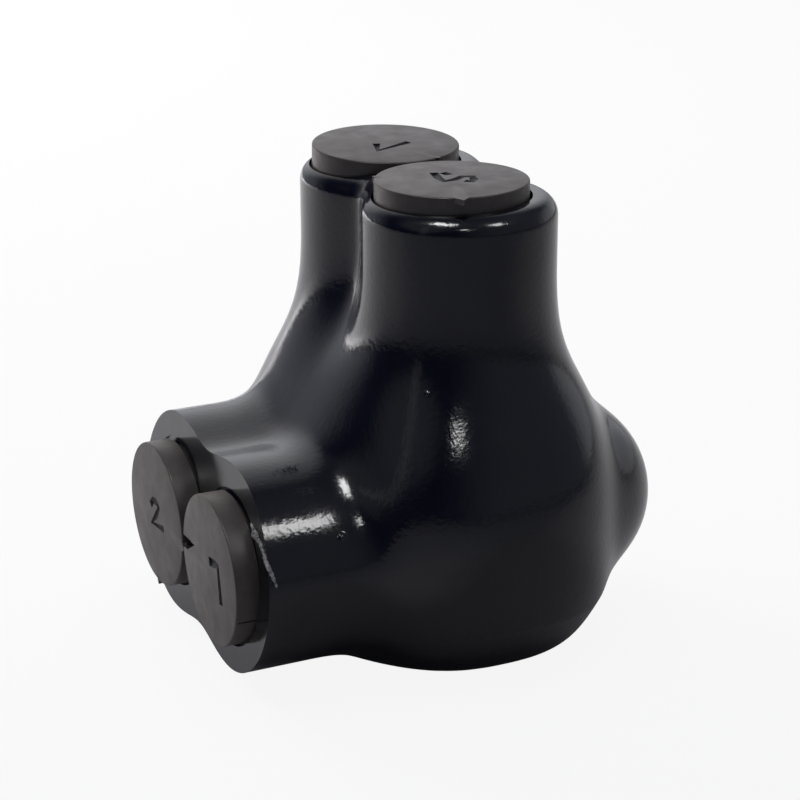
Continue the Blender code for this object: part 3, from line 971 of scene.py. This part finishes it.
def build():
    """Make every piece with its materials, hide the CAD part that it replaces, and hang
    it on the body that it rides on.
    """
    looks = {"plug": plug_plastic(), "digit": recess_painted_shade()}
    block_look = metal(
        "tinned_block",
        (0.62, 0.62, 0.60),
        (0.80, 0.80, 0.78),
        (4000, 250, 4000),
        (0.28, 0.42),
    )
    screw_look = metal(
        "machined_screw",
        (0.50, 0.50, 0.49),
        (0.72, 0.72, 0.70),
        (900, 900, 5000),
        (0.22, 0.36),
    )
    boot = make_boot(vinyl(), cut_vinyl())
    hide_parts("insulating_boot")
    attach(boot, "housing")
    burr = make_burr(burr_painted_highlight())
    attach(burr, "housing")
    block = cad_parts["connector_block"]
    for slot in block.material_slots:
        slot.material = block_look
    for name, side in SIDES.items():
        y = side * PITCH / 2
        screw = make_screw("threaded_screw_" + name, side, screw_look)
        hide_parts("set_screw_" + name)
        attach(screw, "screw_" + name)
        above = Matrix.Translation((0, y, CHIMNEY_SEAT + SEAT_GAP))
        plug = make_plug("chimney_plug_" + name, above, "screw_" + name, looks)
        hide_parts("screw_port_plug_" + name)
        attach(plug, "screw_plug_" + name)
        facing = Matrix(((0, 0, -1), (-1, 0, 0), (0, 1, 0))).to_4x4()
        ahead = Matrix.Translation((PORT_SEAT_X - SEAT_GAP, y, PORT_Z)) @ facing
        plug = make_plug("port_plug_" + name, ahead, "wire_" + name, looks)
        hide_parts("wire_port_plug_" + name)
        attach(plug, "wire_plug_" + name)


# Stage, lights and camera

# The floor is white to the camera. Its tone, which the glossy parts mirror, goes
# from the first to the second with the distance in metres along a bearing, and with
# the distance all round except in the sector behind the object. This darker tone
# ahead and far off is painted shade, for the unlit room in front of the object
FLOOR_SIZE = 1.5
FLOOR_GLOW = 0.9
FLOOR_FADE_BEARING = -20
FLOOR_FADE = (-0.02, 0.10)
FLOOR_REACH = (0.06, 0.30)
FLOOR_SECTOR = (-0.5, 0.0)
FLOOR_TONES = ((0.76, 0.75, 0.77), (0.41, 0.42, 0.50))


def make_stage():
    look = Shader("pale_floor")
    tree = look.tree
    look.set(Roughness=0.9)
    where = look.node("ShaderNodeTexCoord")
    ahead = look.node("ShaderNodeVectorMath", operation="DOT_PRODUCT")
    ahead.inputs[1].default_value = bearing(FLOOR_FADE_BEARING, 0)
    look.link(where.outputs["Object"], ahead.inputs[0])
    away = look.node("ShaderNodeVectorMath", operation="LENGTH")
    look.link(where.outputs["Object"], away.inputs[0])
    aside = look.node("ShaderNodeMath", operation="DIVIDE")
    look.link(ahead.outputs["Value"], aside.inputs[0])
    look.link(away.outputs["Value"], aside.inputs[1])
    far = look.node("ShaderNodeMath", operation="MULTIPLY")
    look.link(look.span(away.outputs["Value"], 0, 1, *FLOOR_REACH), far.inputs[0])
    look.link(look.span(aside.outputs[0], 0, 1, *FLOOR_SECTOR), far.inputs[1])
    # Darker ahead and far off: painted shade that the coating mirrors
    dimmer = look.node("ShaderNodeMath", operation="MAXIMUM")
    look.link(look.span(ahead.outputs["Value"], 0, 1, *FLOOR_FADE), dimmer.inputs[0])
    look.link(far.outputs[0], dimmer.inputs[1])
    tint = look.ramp(dimmer.outputs[0], list(enumerate(FLOOR_TONES)))
    look.link(tint, look.shader.inputs["Base Color"])
    path = look.node("ShaderNodeLightPath")
    glow = look.node("ShaderNodeEmission")
    glow.inputs["Color"].default_value = (1, 1, 1, 1)
    seen = look.node("ShaderNodeMath", operation="MAXIMUM")
    look.link(path.outputs["Is Camera Ray"], seen.inputs[0])
    look.link(path.outputs["Is Transmission Ray"], seen.inputs[1])
    share = look.node("ShaderNodeMath", operation="MULTIPLY")
    share.inputs[1].default_value = FLOOR_GLOW
    look.link(seen.outputs[0], share.inputs[0])
    mix = look.node("ShaderNodeMixShader")
    look.link(share.outputs[0], mix.inputs[0])
    look.link(look.shader.outputs[0], mix.inputs[1])
    look.link(glow.outputs[0], mix.inputs[2])
    look.link(mix.outputs[0], tree.nodes["Material Output"].inputs["Surface"])
    mesh = bpy.data.meshes.new("floor")
    bm = bmesh.new()
    bmesh.ops.create_grid(bm, x_segments=1, y_segments=1, size=FLOOR_SIZE)
    bm.to_mesh(mesh)
    bm.free()
    mesh.materials.append(look.material)
    floor = new_object("floor", mesh)


def bearing(azimuth, elevation):
    """The direction of a bearing: 0 is -Y, 90 is +X, and elevation is up."""
    azimuth, elevation = math.radians(azimuth), math.radians(elevation)
    flat = math.cos(elevation)
    return Vector(
        (math.sin(azimuth) * flat, -math.cos(azimuth) * flat, math.sin(elevation))
    )


AMBIENT = 0.07
# A dim blue over the whole room, which gives the black coating its navy cast
DUSK = (0.032, 0.040, 0.085, 1)
# What the glossy coating mirrors: bearing, where each soft patch fades in, its strength
ROOM = (
    (55, 0, -0.05, 0.9, 0.18),
    (178, -10, 0.35, 0.80, 0.40),
    (168, 34, 0.74, 0.97, 0.62),
    (108, 0, 0.85, 0.98, 0.42),
    (-75, 38, 0.82, 0.98, 0.20),
    (0, 90, 0.62, 0.85, 0.09),
)


def make_world():
    """White to the camera, and to reflections bright behind and dark in front."""
    world = bpy.data.worlds.new("studio")
    bpy.context.scene.world = world
    world.use_nodes = True
    tree = world.node_tree
    tree.nodes.clear()
    link = tree.links.new
    path = tree.nodes.new("ShaderNodeLightPath")
    where = tree.nodes.new("ShaderNodeTexCoord")

    def patch_towards(direction, start, end, strength):
        along_it = tree.nodes.new("ShaderNodeVectorMath")
        along_it.operation = "DOT_PRODUCT"
        along_it.inputs[1].default_value = direction
        link(where.outputs["Generated"], along_it.inputs[0])
        made = tree.nodes.new("ShaderNodeMapRange")
        made.interpolation_type = "SMOOTHSTEP"
        made.inputs["From Min"].default_value = start
        made.inputs["From Max"].default_value = end
        made.inputs["To Max"].default_value = strength
        link(along_it.outputs["Value"], made.inputs["Value"])
        return made.outputs["Result"]

    room = None
    for azimuth, elevation, start, end, strength in ROOM:
        patch = patch_towards(bearing(azimuth, elevation), start, end, strength)
        if room is None:
            room = patch
            continue
        both = tree.nodes.new("ShaderNodeMath")
        link(room, both.inputs[0])
        link(patch, both.inputs[1])
        room = both.outputs[0]
    mirror = tree.nodes.new("ShaderNodeBackground")
    link(room, mirror.inputs["Strength"])
    plain = tree.nodes.new("ShaderNodeBackground")
    plain.inputs["Strength"].default_value = AMBIENT
    white = tree.nodes.new("ShaderNodeBackground")
    white.inputs["Strength"].default_value = 1.0
    for background in (mirror, plain, white):
        background.inputs["Color"].default_value = (1, 1, 1, 1)
    dusk = tree.nodes.new("ShaderNodeBackground")
    dusk.inputs["Color"].default_value = DUSK
    both = tree.nodes.new("ShaderNodeAddShader")
    link(mirror.outputs[0], both.inputs[0])
    link(dusk.outputs[0], both.inputs[1])
    glossy = tree.nodes.new("ShaderNodeMixShader")
    link(path.outputs["Is Glossy Ray"], glossy.inputs[0])
    link(plain.outputs[0], glossy.inputs[1])
    link(both.outputs[0], glossy.inputs[2])
    seen = tree.nodes.new("ShaderNodeMath")
    seen.operation = "MAXIMUM"
    link(path.outputs["Is Camera Ray"], seen.inputs[0])
    link(path.outputs["Is Transmission Ray"], seen.inputs[1])
    final = tree.nodes.new("ShaderNodeMixShader")
    link(seen.outputs[0], final.inputs[0])
    link(glossy.outputs[0], final.inputs[1])
    link(white.outputs[0], final.inputs[2])
    out = tree.nodes.new("ShaderNodeOutputWorld")
    link(final.outputs[0], out.inputs["Surface"])


LAMP_DISTANCE = 0.6
AIM = Vector((0, 0, 0.022))


def lamp(name, azimuth, elevation, width, height, radiance, mirrored=True):
    """A soft lamp at a bearing, with its angular size in degrees and its brightness.

    A mirrored lamp is seen only in reflections, and any other lamp only lights.
    """
    data = bpy.data.lights.new(name, "AREA")
    data.shape = "RECTANGLE"
    data.size = 2 * LAMP_DISTANCE * math.tan(math.radians(width / 2))
    data.size_y = 2 * LAMP_DISTANCE * math.tan(math.radians(height / 2))
    data.energy = math.pi * data.size * data.size_y * radiance
    obj = new_object(name, data)
    towards = bearing(azimuth, elevation)
    obj.location = AIM + towards * LAMP_DISTANCE
    obj.rotation_euler = towards.to_track_quat("Z", "Y").to_euler()
    obj.visible_glossy = mirrored
    obj.visible_diffuse = not mirrored


def make_lights():
    lamp("lamp_left", -58, 64, 18, 13, 20.0)
    lamp("lamp_right", 32, 50, 12, 11, 14.0)
    lamp("lamp_front", -19, 37, 8, 4, 18.0)
    lamp("lamp_strip", -68, 22, 6, 36, 0.22)
    lamp("key", -160, 14, 24, 24, 22.0, mirrored=False)
    lamp("overhead", 150, 76, 70, 70, 1.1, mirrored=False)


# The photo's camera: its bearing from the object and roll in degrees, and its lens
CAMERA_BEARING = (-24.66, 20.03)
CAMERA_ROLL = -0.178
CAMERA_DISTANCE = 225.3 * MM
CAMERA_AIM = (-2.04, 0, 23.66)
SENSOR_WIDTH = 36.0
LENS = 95.8
CLIP_START = 0.01


def make_camera():
    roll = math.radians(CAMERA_ROLL)
    back = bearing(*CAMERA_BEARING)
    look_at = Vector(CAMERA_AIM) * MM
    right = Vector((0, 0, 1)).cross(back).normalized()
    up = back.cross(right)
    tilted_right = right * math.cos(roll) + up * math.sin(roll)
    tilted_up = back.cross(tilted_right)
    turn = Matrix((tilted_right, tilted_up, back)).transposed().to_4x4()
    data = bpy.data.cameras.new("camera")
    data.sensor_width = SENSOR_WIDTH
    data.lens = LENS
    data.clip_start = CLIP_START
    camera = new_object("camera", data)
    camera.matrix_world = Matrix.Translation(look_at + back * CAMERA_DISTANCE) @ turn
    bpy.context.scene.camera = camera


build()
make_stage()
make_world()
make_lights()
make_camera()
bpy.context.scene.view_settings.view_transform = "Standard"
